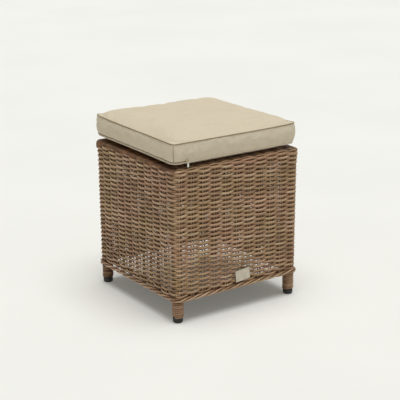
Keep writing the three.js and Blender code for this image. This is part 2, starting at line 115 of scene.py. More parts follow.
class Strands:
    """Collects strands, each swept along its own path, into one mesh."""

    # Metres of strand that the streaks of each new one are drawn from
    REEL = 40

    def __init__(self, name, sides=8):
        self.name = name
        self.sides = sides
        self.verts = []
        self.faces = []
        self.uvs = []
        self.tints = []
        self.shade_levels = []
        self.count = 0

    def rings(self, path, up, radius, closed=False, flat=1.0):
        """path is N x 3; up is one direction or N x 3; flat scales the section along up."""
        path = np.asarray(path, float)
        n = len(path)
        if closed:
            ahead = np.roll(path, -1, 0)
            behind = np.roll(path, 1, 0)
        else:
            ahead = np.vstack([path[1:], 2 * path[-1] - path[-2]])
            behind = np.vstack([2 * path[0] - path[1], path[:-1]])
        along = ahead - behind
        along /= np.linalg.norm(along, axis=1)[:, None]
        up = np.broadcast_to(np.asarray(up, float), (n, 3))
        side = np.cross(along, up)
        side /= np.linalg.norm(side, axis=1)[:, None]
        top = np.cross(side, along)
        angle = np.arange(self.sides) * 2 * math.pi / self.sides
        r = np.broadcast_to(np.asarray(radius, float), (n,))
        return (path[:, None, :]
                + (r[:, None] * np.cos(angle))[:, :, None] * side[:, None, :]
                + (r[:, None] * np.sin(angle) * flat)[:, :, None] * top[:, None, :])

    def put(self, ring, closed=False, tint=None, depth=0.0, start=None, face=0.25):
        """Adds the surface through the rings; start is how far along the strand it begins, and
        face the share of its girth at which it faces outward."""
        n = len(ring)
        first = self.count
        self.verts.append(ring.reshape(-1, 3))
        self.count += n * self.sides
        spans = n if closed else n - 1
        i = np.arange(spans)[:, None]
        j = np.arange(self.sides)[None, :]
        a = first + i * self.sides + j
        b = first + i * self.sides + (j + 1) % self.sides
        c = first + ((i + 1) % n) * self.sides + (j + 1) % self.sides
        d = first + ((i + 1) % n) * self.sides + j
        self.faces.append(np.stack([a, d, c, b], -1).reshape(-1, 4))
        path = ring.mean(1)
        length = np.concatenate([[0], np.cumsum(np.linalg.norm(np.diff(path, axis=0), axis=1))])
        last = np.linalg.norm(path[0] - path[-1]) if closed else 0
        length = np.append(length, length[-1] + last)
        girth = np.arange(self.sides + 1) / self.sides - face
        start = rng.uniform(0, self.REEL) if start is None else start
        u0 = start + length[i + 0 * j]
        u1 = start + length[i + 1 + 0 * j]
        v0 = girth[j + 0 * i]
        v1 = girth[j + 1 + 0 * i]
        quad = np.stack([np.stack([u0, v0], -1), np.stack([u1, v0], -1),
                         np.stack([u1, v1], -1), np.stack([u0, v1], -1)], 2)
        self.uvs.append(quad.reshape(-1, 2))
        tint = rng.uniform(0, 1) if tint is None else tint
        # depth is the amount of painted shade at each point, a share, not a distance
        for store, values in ((self.tints, tint), (self.shade_levels, depth)):
            store.append(np.repeat(np.broadcast_to(np.asarray(values, float), (n,)), self.sides))

    def add(self, path, up, radius, closed=False, tint=None, flat=1.0, depth=0.0, face=0.25):
        self.put(self.rings(path, up, radius, closed, flat), closed, tint, depth, face=face)

    def build(self, material, body, slot):
        verts = np.concatenate(self.verts).astype(np.float32)
        faces = np.concatenate(self.faces).astype(np.int32)
        mesh = bpy.data.meshes.new(self.name)
        mesh.vertices.add(len(verts))
        mesh.vertices.foreach_set("co", verts.ravel())
        mesh.loops.add(faces.size)
        mesh.loops.foreach_set("vertex_index", faces.ravel())
        mesh.polygons.add(len(faces))
        mesh.polygons.foreach_set("loop_start", np.arange(0, faces.size, 4, dtype=np.int32))
        mesh.polygons.foreach_set("loop_total", np.full(len(faces), 4, np.int32))
        mesh.update(calc_edges=True)
        mesh.polygons.foreach_set("use_smooth", np.ones(len(faces), bool))
        layer = mesh.uv_layers.new(name="Strand")
        layer.data.foreach_set("uv", np.concatenate(self.uvs).astype(np.float32).ravel())
        # The depth attribute carries the painted shade
        for name, values in (("tint", self.tints), ("depth", self.shade_levels)):
            attribute = mesh.attributes.new(name, "FLOAT", "POINT")
            attribute.data.foreach_set("value", np.concatenate(values).astype(np.float32))
        mesh.validate()
        obj = bpy.data.objects.new(self.name, mesh)
        bpy.context.scene.collection.objects.link(obj)
        mesh.materials.append(material)
        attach(obj, body)
        return obj


# Materials

class Nodes:
    """A short way to write a node material."""

    def __init__(self, name):
        self.material = bpy.data.materials.new(name)
        self.material.use_nodes = True
        self.tree = self.material.node_tree
        self.shader = self.tree.nodes["Principled BSDF"]

    def add(self, kind, values=None, **inputs):
        node = self.tree.nodes.new("ShaderNode" + kind)
        for key, value in (values or {}).items():
            setattr(node, key, value)
        for key, value in inputs.items():
            self.put(node, key.replace("_", " "), value)
        return node

    def put(self, node, key, value):
        socket = node.inputs[int(key)] if key.isdigit() else node.inputs[key]
        if isinstance(value, bpy.types.NodeSocket):
            self.tree.links.new(value, socket)
        else:
            socket.default_value = value

    def set(self, **inputs):
        for key, value in inputs.items():
            self.put(self.shader, key.replace("_", " "), value)

    def place(self):
        return self.add("TexCoord").outputs["Object"]

    def math(self, operation, a, b=0.0):
        node = self.add("Math", {"operation": operation})
        self.put(node, "0", a)
        self.put(node, "1", b)
        return node.outputs[0]

    def total(self, *values):
        """The sum of the values; a pair in it is a value and its share."""
        result = None
        for value in values:
            part = self.math("MULTIPLY", *value) if isinstance(value, tuple) else value
            result = part if result is None else self.math("ADD", result, part)
        return result

    def noise(self, vector, scale, detail=2.0, roughness=0.5):
        """scale is one number, or three where the noise is stretched."""
        if isinstance(scale, tuple):
            mapping = self.add("Mapping", None, Vector=vector, Scale=scale)
            vector, scale = mapping.outputs["Vector"], 1.0
        node = self.add("TexNoise", None, Vector=vector, Scale=scale, Detail=detail,
                        Roughness=roughness)
        return node.outputs["Fac"]

    def ramp(self, factor, stops):
        node = self.add("ValToRGB", None, Fac=factor)
        ramp = node.color_ramp
        while len(ramp.elements) < len(stops):
            ramp.elements.new(0.5)
        for element, (place, colour) in zip(ramp.elements, stops):
            element.position = place
            element.color = (*colour, 1.0)
        return node.outputs["Color"]

    def multiply(self, factor, colour, by):
        """The colour, multiplied as far as factor says by another colour."""
        node = self.add("Mix", {"data_type": "RGBA", "blend_type": "MULTIPLY"})
        self.put(node, "0", factor)
        self.put(node, "6", colour)
        self.put(node, "7", (*by, 1.0) if isinstance(by, tuple) else by)
        return node.outputs[2]

    def bump(self, height, strength, distance, normal=None):
        node = self.add("Bump", None, Height=height, Strength=strength, Distance=distance)
        if normal is not None:
            self.put(node, "Normal", normal)
        return node.outputs["Normal"]


BLACK = (0, 0, 0)
WHITE = (1, 1, 1)


def srgb(r, g, b):
    def channel(c):
        c /= 255
        return c / 12.92 if c <= 0.04045 else ((c + 0.055) / 1.055) ** 2.4
    return tuple(channel(c) for c in (r, g, b))


def strand_material(name, dark, middle, light, olive, red):
    """Extruded strand: streaks along it, blotches of olive and red over several rows, and
    painted shade where a strand dips behind its neighbours, where it lies in the cushion's shadow and
    on its flanks against its neighbours."""
    n = Nodes(name)
    uv = n.add("UVMap", {"uv_map": "Strand"}).outputs["UV"]
    place = n.place()
    tint = n.add("Attribute", {"attribute_name": "tint"}).outputs["Fac"]
    depth = n.add("Attribute", {"attribute_name": "depth"}).outputs["Fac"]
    streak = n.noise(uv, (60, 38, 1), 3.0, 0.6)
    smudge = n.noise(uv, (28, 3.8, 1))
    blotch = n.noise(place, (11, 11, 12), 2.0, 0.6)
    level = n.total((streak, 0.45), (smudge, 0.35), (tint, 0.26))
    colour = n.ramp(level, [(0.30, dark), (0.53, middle), (0.78, light)])
    colour = n.multiply(n.ramp(blotch, [(0.42, BLACK), (0.66, WHITE)]), colour, olive)
    colour = n.multiply(n.ramp(blotch, [(0.34, WHITE), (0.52, BLACK)]), colour, red)
    # Painted shade: the depth attribute darkens strands that lie recessed or in the cushion's shadow,
    # towards a dark warm brown
    shade_colour = n.ramp(n.math("MULTIPLY", depth, 0.5),
                   [(0.15, WHITE), (0.5, (0.42, 0.29, 0.16)), (1.0, (0.14, 0.10, 0.06))])
    colour = n.multiply(1.0, colour, shade_colour)
    # Painted shade on each strand's flanks and inner side, where it lies against its neighbours
    girth = n.add("SeparateXYZ", None, Vector=uv).outputs["Y"]
    facing = n.math("COSINE", n.math("MULTIPLY", girth, 2 * math.pi))
    crevice_shade = n.ramp(facing, [(0.0, (0.38, 0.27, 0.17)), (0.62, WHITE)])
    colour = n.multiply(1.0, colour, crevice_shade)
    n.set(Base_Color=colour, Roughness=n.math("ADD", n.math("MULTIPLY", streak, 0.28), 0.28))
    n.set(Specular_IOR_Level=0.45)
    fine = n.bump(streak, 0.55, 0.0006)
    n.set(Normal=n.bump(smudge, 0.4, 0.0008, fine))
    return n.material


THREAD_PITCH = 0.0011
WAVES_PER_METRE = 3.18


def fabric_material(name, colour, dark, scale=1.0):
    """Plain slub weave: threads that cross, with thick and thin places. The wave texture makes
    WAVES_PER_METRE waves at a scale of 1."""
    n = Nodes(name)
    place = n.place()
    waves = []
    for axis in "XYZ":
        wave = n.add("TexWave", {"wave_type": "BANDS", "bands_direction": axis}, Vector=place,
                     Scale=scale / THREAD_PITCH / WAVES_PER_METRE, Distortion=1.2, Detail=1.0,
                     Detail_Scale=2.0)
        waves.append(wave.outputs["Fac"])
    weave = n.total(*waves)
    slub = n.total(*[n.noise(place, stretch, 2.0, 0.6)
                     for stretch in ((70, 900, 900), (900, 70, 900), (900, 900, 70))])
    bars = n.total(*[n.noise(place, stretch, 2.0, 0.6)
                     for stretch in ((6, 170, 170), (170, 170, 6))])
    soft = n.noise(place, 14.0)
    level = n.total((slub, 0.27), (weave, 0.04), (n.math("SUBTRACT", bars, 0.66), 0.28),
                    (soft, 0.22))
    n.set(Base_Color=n.ramp(level, [(0.42, dark), (0.66, colour)]), Roughness=0.92)
    n.set(Specular_IOR_Level=0.2, Sheen_Weight=0.05, Sheen_Roughness=0.5)
    threads = n.bump(weave, 0.35, 0.0003)
    n.set(Normal=n.bump(slub, 0.35, 0.0006, threads))
    return n.material


def metal_material(name, colour, roughness):
    """Brushed metal with wear."""
    n = Nodes(name)
    place = n.place()
    brushed = n.noise(place, (220, 2640, 2640), 3.0, 0.6)
    wear = n.noise(place, 60.0, 3.0, 0.6)
    dark = tuple(c * 0.72 for c in colour)
    n.set(Base_Color=n.ramp(n.total((brushed, 0.5), (wear, 0.5)), [(0.3, dark), (0.6, colour)]))
    n.set(Roughness=n.math("ADD", n.math("MULTIPLY", brushed, 0.25), roughness - 0.12))
    n.set(Metallic=1.0)
    n.set(Normal=n.bump(brushed, 0.15, 0.0003))
    return n.material


def coat_material(name, colour, roughness):
    """Powder coat or moulded plastic: a fine pebble over an even colour with a little dust."""
    n = Nodes(name)
    place = n.place()
    pebble = n.noise(place, 1500.0)
    dust = n.noise(place, 45.0, 4.0, 0.6)
    lighter = tuple(min(1.0, c * 1.7 + 0.01) for c in colour)
    n.set(Base_Color=n.ramp(dust, [(0.45, colour), (0.75, lighter)]))
    n.set(Roughness=n.math("ADD", n.math("MULTIPLY", dust, 0.25), roughness - 0.12))
    n.set(Normal=n.bump(pebble, 0.25, 0.0003))
    return n.material


WICKER = strand_material(
    "wicker", srgb(114, 82, 55), srgb(174, 140, 108), srgb(212, 186, 158),
    (0.96, 0.98, 0.84), (1.0, 0.92, 0.90))
WRAP = strand_material(
    "wicker_wrap", srgb(114, 85, 62), srgb(164, 130, 102), srgb(204, 172, 140),
    (0.97, 0.97, 0.88), (1.0, 0.93, 0.9))
FABRIC = fabric_material("cover_fabric", srgb(213, 201, 178), srgb(194, 181, 157))
EDGING = fabric_material("edging_fabric", srgb(212, 198, 176), srgb(194, 178, 154), 0.8)
PIPING = fabric_material("piping_fabric", srgb(150, 134, 106), srgb(122, 108, 82), 0.8)
# The zip chain is coloured dark partly as its own colour and partly as painted shadow of the gap over
# the flap
CHAIN_AND_SHADOW = fabric_material("zip_fabric", srgb(120, 104, 80), srgb(92, 78, 58), 1.4)
FRAME = coat_material("frame_tube", srgb(58, 42, 30), 0.5)
GLIDE = coat_material("glide_black", srgb(17, 15, 15), 0.5)
SLIDER = coat_material("zip_slider_coat", srgb(168, 156, 130), 0.5)
PLATE = metal_material("bare_plate", srgb(198, 190, 173), 0.42)
METAL = metal_material("zip_metal", srgb(222, 219, 212), 0.32)


# The path round the stool: along it s runs anticlockwise from the front left leg

STAKES = 11
STAKE_PITCH = 0.036
CORNER = 0.022
SIDE = 2 * HALF
LAP = 4 * (SIDE + CORNER)
FIRST_STAKE = (SIDE - (STAKES - 1) * STAKE_PITCH) / 2
CORNER_EASE = 0.02


def around(s):
    """Points on the legs' line and the outward direction for each s."""
    s = np.asarray(s, float) % LAP
    k = np.floor(s / (SIDE + CORNER)).astype(int)
    t = s - k * (SIDE + CORNER)
    x = -HALF + np.minimum(t, SIDE)
    turn = np.maximum(t - SIDE, 0) / CORNER * math.pi / 2
    out_x = np.sin(turn)
    out_y = -np.cos(turn)
    c, d = np.cos(k * math.pi / 2), np.sin(k * math.pi / 2)
    y = np.full_like(x, -HALF)
    base = np.stack([c * x - d * y, d * x + c * y], -1)
    out = np.stack([c * out_x - d * out_y, d * out_x + c * out_y], -1)
    return base, out


def read_round(s, values):
    """Values given at even steps along one lap, its start and end included, read at each s."""
    return np.interp(s % LAP, np.arange(len(values)) * LAP / (len(values) - 1), values)


def stake_places():
    """s of each stake, the same number on every side."""
    return np.array([k * (SIDE + CORNER) + FIRST_STAKE + i * STAKE_PITCH
                     for k in range(4) for i in range(STAKES)])


def stake_count(s):
    """A number that grows by one from each stake to the next."""
    places = stake_places()
    places = np.concatenate([places - LAP, places, places + LAP])
    index = np.arange(len(places)) - 4 * STAKES
    return np.interp(np.asarray(s) % LAP, places, index)


def cornering(s):
    """1 at the middle of a corner, 0 away from it."""
    t = (np.asarray(s) % (SIDE + CORNER)) - SIDE - CORNER / 2
    t = np.where(t < -(SIDE + CORNER) / 2, t + SIDE + CORNER, t)
    return np.exp(-(t / CORNER_EASE) ** 2)


WANDER = 0.0045
WANDER_FROM = 0.33
WANDER_LEAST = 0.35


def wander(base, z):
    """How far the hand-woven rows stray from level, less near the rim."""
    lean = (base[..., 0] - base[..., 1]) / (2 * HALF)
    fade = np.clip((RAIL_Z - z) / (RAIL_Z - WANDER_FROM), WANDER_LEAST, 1)
    return WANDER * lean * fade


FACE_POINTS = 60
SLOPE_STEP = 0.0015


def woven_face(z):
    """u of the woven side's outer face at a height between the border and the top rail."""
    share = (z - BORDER_HIGH) / (RAIL_Z - BORDER_HIGH)
    return WOVEN_OUTER + (ROLL_OUTER - WOVEN_OUTER) * share ** FLARE


def face_line():
    """The side's outer face from the border, over the shoulder, to the seat: (u, z) points, and
    the run up the face to each."""
    foot = RAIL_Z - SHOULDER_FADE
    line = [(woven_face(z), z) for z in np.linspace(BORDER_HIGH, foot, FACE_POINTS)]
    line.append((SHOULDER - SHOULDER_EASE[0], RAIL_Z - SHOULDER_EASE[1]))
    line.append((SHOULDER, RAIL_Z))
    centre_u, centre_z = SHOULDER - SHOULDER_ROUND, SEAT_Z - SHOULDER_ROUND
    for angle in np.radians(np.arange(0, 91, 10)):
        line.append((centre_u + SHOULDER_ROUND * math.cos(angle),
                     centre_z + SHOULDER_ROUND * math.sin(angle)))
    line.append((0.0, SEAT_Z))
    line = np.array(line)
    run = np.concatenate([[0], np.cumsum(np.linalg.norm(np.diff(line, axis=0), axis=1))])
    return line, run


FACE, FACE_RUN = face_line()
FACE_END = FACE_RUN[-1]


def face_u(run):
    """u of the outer face at that run up it."""
    return np.interp(run, FACE_RUN, FACE[:, 0])


def face_z(run):
    """Height of the outer face at that run up it."""
    return np.interp(run, FACE_RUN, FACE[:, 1])


def on_face(run, depth):
    """(u, z) at that run up the face and that depth under it, and the direction out of it."""
    run = np.asarray(run, float)
    du = face_u(run + SLOPE_STEP) - face_u(run - SLOPE_STEP)
    dz = face_z(run + SLOPE_STEP) - face_z(run - SLOPE_STEP)
    size = np.hypot(du, dz)
    out_u, out_z = dz / size, -du / size
    return face_u(run) - out_u * depth, face_z(run) - out_z * depth, out_u, out_z


def run_at(z):
    """Run up the face to a height below the shoulder's top."""
    return np.interp(z, FACE[:-1, 1], FACE_RUN[:-1])


def round_stool(base, out, u, z):
    """Points in the scene, from (u, z) at each place on the legs' line."""
    u, z = np.broadcast_to(u, (len(base),)), np.broadcast_to(z, (len(base),))
    return np.column_stack([base[:, 0] + out[:, 0] * u, base[:, 1] + out[:, 1] * u, z])


SIDEWAYS_FROM = 0.45
SIDEWAYS_EASE = 0.35


def sideways(out):
    """1 where the side faces left or right, 0 where it faces the front or back."""
    return np.clip((np.abs(out[:, 0]) - SIDEWAYS_FROM) / SIDEWAYS_EASE, 0, 1)


WOUND_FOOT = 0.4145
WOUND_FOOT_DROP = 0.004
WOUND_END_DROP = 0.012
WOUND_END_Y = 0.15
NOT_WOUND = 0.03


def wound_foot(base, out):
    """Height where the strands wound over the left and right rails stop, above all on the front
    and back, where there are none."""
    back = np.clip((base[:, 1] + HALF) / (2 * HALF), 0, 1)
    end = np.clip((base[:, 1] - WOUND_END_Y) / (HALF - WOUND_END_Y), 0, 1)
    foot = WOUND_FOOT - WOUND_FOOT_DROP * back - WOUND_END_DROP * end ** 2
    return foot + (1 - sideways(out)) * NOT_WOUND


# Woven sides

SIDES = ("front", "right", "back", "left")
SIDE_STEPS = 154
ANY_PHASE = 6.28

# The rows' strand: wider up the face than it is thick, less so low down
WEAVER = 0.0046
WEAVER_FLAT = 1.45
LOOSE_FLAT = 0.24
LOOSE_BELOW = 0.175
LOOSE_EASE = 0.03

# The stakes, in pairs
STAKE = 0.0042
STAKE_GAP = 0.0036
STAKE_DEPTH = 0.74
STAKE_STEP = 0.0055
STAKE_TAIL = 0.005
STAKE_SWAY = 0.0005
STAKE_JOG = 0.0004
JOG_KNOTS = np.linspace(0, 0.36, 9)

# The rows' places, and how far they stray from them
ROW_PITCH = 0.0061
FIRST_ROW = 0.0020
LAST_ROW = FACE_END - 0.0058
ROW_END = FACE_END - 0.002
ROW_DROOP = 0.0006
ROW_STRAY = 0.00018
ROW_RIPPLE = 0.0002
ROW_UNEVEN = 0.0002
STRAY_KNOTS = 88
TINT_KNOTS = 23

# How deep the rows swing, less over the rail, and where the wound strands cover them
SWING = 0.0052
ARC_FROM = 0.405
ARC_EASE = 0.008
# Where the painted shadow of the cushion over the top rows begins, and how far it deepens
RIM_FROM = 0.392
RIM_EASE = 0.020
UNDER_TOP = SEAT_Z - 0.0005
UNDER_EARLY = 0.003
UNDER_EASE = 0.004
UNDER_GAP = 0.0004

# The hollow behind the plate
PLATE_RUN = HALF + PLATE_X
PRESS_DEPTH = 0.0014
PRESS_HEIGHT = 0.024
PRESS_WIDTH = 0.030
PRESS_EASE = 0.006


class Lap:
    """The places round the stool that every row passes."""

    def __init__(self):
        self.steps = 4 * SIDE_STEPS
        self.s = np.arange(self.steps) * LAP / self.steps - CORNER / 2
        self.base, self.out = around(self.s)
        self.count = stake_count(self.s)
        self.corner = cornering(self.s)
        self.side = sideways(self.out)
        foot = wound_foot(self.base, self.out).clip(0, UNDER_TOP)
        self.foot = run_at(foot) + NOT_WOUND * (1 - self.side)


def swung(count, row):
    """1 where a row lies in front of its stakes, falling to about -0.4 behind the next pair."""
    wave = (np.cos(math.pi * (count + row)) + 0.5) / 1.5
    return np.sign(wave) * np.abs(wave) ** np.where(wave > 0, 1.0, 0.75)


def pressed(s, height):
    """How much deeper a row lies behind the plate."""
    away = np.abs(s - PLATE_RUN)
    eased = np.clip((PRESS_WIDTH + PRESS_EASE / 2 - away) / PRESS_EASE, 0, 1)
    near = (away < PRESS_WIDTH) * eased
    return PRESS_DEPTH * near * (abs(height - PLATE_Z) < PRESS_HEIGHT)


def woven_row(weaves, lap, row, run):
    """One strand round all four sides, cut into their meshes at the corners."""
    wave = swung(lap.count, row)
    knots = rng.normal(0, 1, STRAY_KNOTS)
    stray = read_round(lap.s, np.append(knots, knots[0]))
    height = face_z(run)
    ripple = np.sin(2 * math.pi * lap.s / LAP * rng.integers(2, 6) + rng.uniform(0, ANY_PHASE))
    here = (run + wander(lap.base, height) - ROW_DROOP * wave.clip(0) ** 2 + ROW_STRAY * stray
            + ROW_RIPPLE * ripple)
    under = np.clip((here - lap.foot + UNDER_EARLY) / UNDER_EASE, 0, 1)
    arc = np.clip((here - run_at(ARC_FROM)) / ARC_EASE, 0, 1)
    dip = SWING * (1 - 0.3 * lap.corner) * (1 - 0.3 * arc) * (1 - wave)
    depth = WEAVER / 2 + dip - ROW_UNEVEN * stray + pressed(lap.s, height)
    depth = depth * (1 - under) + (WEAVER / 2 + STRAND + UNDER_GAP) * under
    u, z, out_u, out_z = on_face(here.clip(0, ROW_END), depth)
    up = np.column_stack([-lap.out[:, 0] * out_z, -lap.out[:, 1] * out_z, out_u])
    tint = np.clip(0.5 + 0.3 * read_round(lap.s, rng.normal(0, 1, TINT_KNOTS)), 0, 1)
    # Painted shade: darker where the row dips behind the stakes, plus a painted shadow of the cushion
    # over the top rows, deeper on the left and right sides
    near_rim = np.clip((here - run_at(RIM_FROM)) / RIM_EASE, 0, 1)
    painted_shade = dip / (1.5 * SWING) + near_rim * (0.2 + 0.45 * lap.side)
    loose = np.clip((LOOSE_BELOW - z) / LOOSE_EASE, 0, 1) * (0.1 + 0.9 * lap.side)
    radius = WEAVER / 2 * (1 + 0.03 * stray.clip(-1.5, 1.5))
    flat = (WEAVER_FLAT - LOOSE_FLAT * loose)[:, None]
    path = round_stool(lap.base, lap.out, u, z)
    ring = weaves[0].rings(path, up, radius, closed=True, flat=flat)
    start = rng.uniform(0, Strands.REEL)
    for k, weave in enumerate(weaves):
        part = np.arange(k * SIDE_STEPS, (k + 1) * SIDE_STEPS + 1) % lap.steps
        weave.put(ring[part], tint=tint[part], depth=painted_shade[part], start=start + k * LAP / 4,
                  face=0.0)


def stakes(weaves, pitch):
    """Pairs of upright strands inside the rows, swaying a little with them."""
    for i, middle in enumerate(stake_places()):
        for side in (-1, 1):
            runs = np.arange(-STAKE_TAIL, LAST_ROW, STAKE_STEP)
            jogs = rng.normal(0, STAKE_JOG, len(JOG_KNOTS))
            jog = np.interp(runs, JOG_KNOTS, jogs)
            base, out = around(middle + side * STAKE_GAP + jog)
            sway = STAKE_SWAY * np.cos(math.pi * (runs - FIRST_ROW) / pitch + math.pi * i)
            depth = WEAVER / 2 + STAKE_DEPTH * SWING + sway
            u, z, out_u, out_z = on_face(runs.clip(0), depth)
            z = z + np.minimum(runs, 0)
            up = np.column_stack([out[:, 0] * out_u, out[:, 1] * out_u, out_z])
            path = round_stool(base, out, u, z)
            # depth sets the painted shade, slight on the stakes
            weaves[i // STAKES].add(path, up, STAKE / 2, depth=0.1)


def woven_sides():
    weaves = [Strands("side_strands_" + name) for name in SIDES]
    lap = Lap()
    rows = round((LAST_ROW - FIRST_ROW) / ROW_PITCH)
    pitch = (LAST_ROW - FIRST_ROW) / rows
    for row in range(rows + 1):
        woven_row(weaves, lap, row, FIRST_ROW + row * pitch)
    stakes(weaves, pitch)
    for name, weave in zip(SIDES, weaves):
        obj = weave.build(WICKER, "stool", "wicker")
        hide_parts("side_weave_" + name)


# Seat: strands wound over the left and right rails, woven across through pairs of stakes

WOUND_PITCH = 0.0044
WOUND_STEPS = 16
WOUND_RIM = 0.0035
WOUND_WIDTHS = (0.94, 1.08)
WOUND_TUCK = 0.0022
WOUND_TUCK_STRAY = 0.0007
WOUND_DIVE = 0.0030
WOUND_DIVE_RUN = 0.003
WOUND_SHIFT = 0.0002
ACROSS_STEPS = 70
ROWS_PER_TINT = 2.4
CORNER_STRANDS = 9
CORNER_RIM = 0.004
CORNER_TUCK = 0.002
CORNER_LEAST = 0.003
SEAT_SINK = STRAND / 2
SEAT_SWING = 0.0021
SEAT_EDGE = 0.012
SEAT_LIFT = 0.0006
SEAT_STAKE_REACH = HALF + 0.0026


def wound_shade():
    """Painted shade on a wound end, darker towards the cushion, whose shadow falls there."""
    return 0.85 + 0.6 * np.linspace(0, 1, WOUND_STEPS) ** 0.6


def wound_end(sign, y):
    """A strand's stretch over the left or right rail, from its foot on the side to the seat."""
    edge = np.array([[sign * HALF, y]])
    out = np.array([[float(sign), 0.0]])
    foot = run_at(wound_foot(edge, out)[0] - WOUND_TUCK + rng.normal(0, WOUND_TUCK_STRAY))
    steps = np.linspace(foot, FACE_END - WOUND_RIM, WOUND_STEPS)
    dive = WOUND_DIVE * np.clip(1 - (steps - foot) / WOUND_DIVE_RUN, 0, 1)
    u, z, _, _ = on_face(steps, SEAT_SINK + dive)
    shift = rng.normal(0, WOUND_SHIFT, 3)
    offset = np.interp(np.linspace(0, 1, len(u)), [0, 0.5, 1], shift)
    return np.column_stack([sign * (HALF + u), y + offset, z])


def seat_row(strands, row, y, x, tint):
    """One strand: wound over the left rail, woven across the seat, wound over the right rail."""
    ends = [wound_end(sign, y) for sign in (-1, 1)]
    wave = np.cos(math.pi * (x / STAKE_PITCH + row))
    edge = (HALF - np.abs(x)) / SEAT_EDGE
    dip = SEAT_SWING * (1 - wave) * np.clip(edge + 0.3, 0, 1)
    across = np.column_stack([x, y + 0 * x, SEAT_Z - SEAT_SINK - dip])
    path = np.vstack([ends[0], across[1:-1], ends[1][::-1]])
    up = np.cross(np.gradient(path, axis=0), (0, 1, 0))
    up[np.linalg.norm(up, axis=1) < 1e-9] = (0, 0, 1)
    # Painted shade across the seat, darker towards the rails under the cushion's edge
    across_shade = 0.45 + 0.8 * np.clip(1 - edge[1:-1], 0, 1)
    depth = np.concatenate([wound_shade(), across_shade, wound_shade()[::-1]])
    radius = STRAND / 2 * rng.uniform(*WOUND_WIDTHS)
    strands.add(path, up, radius, tint=tint, depth=depth)


def seat_corner(strands, k):
    """The fan of wound strands round a corner, where it still faces left or right."""
    start = (k + 1) * (SIDE + CORNER) - CORNER
    for i in range(CORNER_STRANDS):
        base, out = around([start + CORNER * (i + 0.5) / CORNER_STRANDS])
        foot_z = wound_foot(base, out)[0]
        if foot_z > SEAT_Z - CORNER_LEAST:
            continue
        steps = np.linspace(run_at(foot_z - CORNER_TUCK), FACE_END - CORNER_RIM, WOUND_STEPS)
        u, z, out_u, out_z = on_face(steps, SEAT_SINK)
        path = round_stool(np.repeat(base, WOUND_STEPS, 0), np.repeat(out, WOUND_STEPS, 0), u, z)
        up = np.column_stack([out[0, 0] * out_u, out[0, 1] * out_u, out_z])
        strands.add(path, up, STRAND / 2, depth=wound_shade())


def seat_stakes(strands, count, pitch):
    """Pairs of strands from front to back that the rows cross."""
    y = np.linspace(-SEAT_STAKE_REACH, SEAT_STAKE_REACH, 2 * count + 1)
    for i in range(-(STAKES // 2), STAKES // 2 + 1):
        for side in (-1, 1):
            lift = SEAT_LIFT * np.cos(math.pi * (y + HALF) / pitch + math.pi * i)
            path = np.column_stack([i * STAKE_PITCH + side * STAKE_GAP + 0 * y, y,
                                    SEAT_Z - SEAT_SINK - SEAT_SWING - lift])
            # depth sets the painted shade under the cushion
            strands.add(path, (0, 0, 1), STAKE / 2, depth=0.4)


def seat():
    strands = Strands("seat_strands")
    count = round(2 * HALF / WOUND_PITCH)
    pitch = 2 * HALF / count
    reach = HALF + float(on_face(FACE_END - WOUND_RIM, SEAT_SINK)[0])
    x = np.linspace(-reach, reach, ACROSS_STEPS)
    knots = rng.uniform(-0.5, 1.5, count)
    tints = np.interp(np.arange(count + 1) / ROWS_PER_TINT, np.arange(count), knots).clip(0, 1)
    for row in range(count + 1):
        seat_row(strands, row, -HALF + row * pitch, x, tints[row])
    for k in range(4):
        seat_corner(strands, k)
    seat_stakes(strands, count, pitch)
    obj = strands.build(WICKER, "stool", "wicker")
    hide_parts("seat_weave")


# Twisted border along the bottom of the sides

ROPE_STRAND = 0.0053
ROPE_DROP = 0.0019
ROPE_SAG = 0.0012
ROPE_STEPS = 640
ROPE_TWISTS = 15
ROPE_TINT_KNOTS = 31


def border():
    rope = Strands("border_rope", 8)
    middle_u = (BORDER_OUTER + BORDER_INNER) / 2
    middle_z = (BORDER_LOW + BORDER_HIGH) / 2 - ROPE_DROP
    reach_u = (BORDER_OUTER - BORDER_INNER) / 2 - ROPE_STRAND / 2
    reach_z = (BORDER_HIGH - BORDER_LOW) / 2 - ROPE_STRAND / 2 + ROPE_SAG
    s = np.arange(ROPE_STEPS) * LAP / ROPE_STEPS
    base, out = around(s)
    for k in range(3):
        turn = 2 * math.pi * (s / LAP * ROPE_TWISTS + k / 3)
        u = middle_u + reach_u * np.cos(turn)
        z = middle_z + reach_z * np.sin(turn) + wander(base, middle_z)
        tint = np.clip(0.62 + 0.25 * read_round(s, rng.normal(0, 1, ROPE_TINT_KNOTS)), 0, 1)
        # Painted shade: each strand darker where it turns in behind the other two
        painted_shade = 0.1 + 0.9 * (0.5 - 0.5 * np.cos(turn + 0.5))
        path = round_stool(base, out, u, z)
        rope.add(path, (0, 0, 1), ROPE_STRAND / 2, closed=True, tint=tint, depth=painted_shade, face=0.0)
    obj = rope.build(WICKER, "stool", "wicker")
    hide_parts("border_front", "border_right", "border_back", "border_left")


# Strand wound round each leg

CORNERS = {"front_left": (-1, -1), "front_right": (1, -1), "back_right": (1, 1),
           "back_left": (-1, 1)}
WRAP_LOW = 0.0158
WRAP_HIGH = 0.0585
WRAP_PITCH = 0.0055
WRAP_RADIUS = 0.0131
WRAP_STRAND_RADIUS = 0.0027
WRAP_STEPS = 20
WRAP_WOBBLE_OUT = 0.00012
WRAP_WOBBLE_UP = 0.00018
# Painted shade on each leg's strand, varying along its turns: the back left leg, in the stool's
# shadow, much darker
WRAP_SHADE = {"front_left": 0.28, "front_right": 0.28, "back_right": 0.28, "back_left": 0.75}


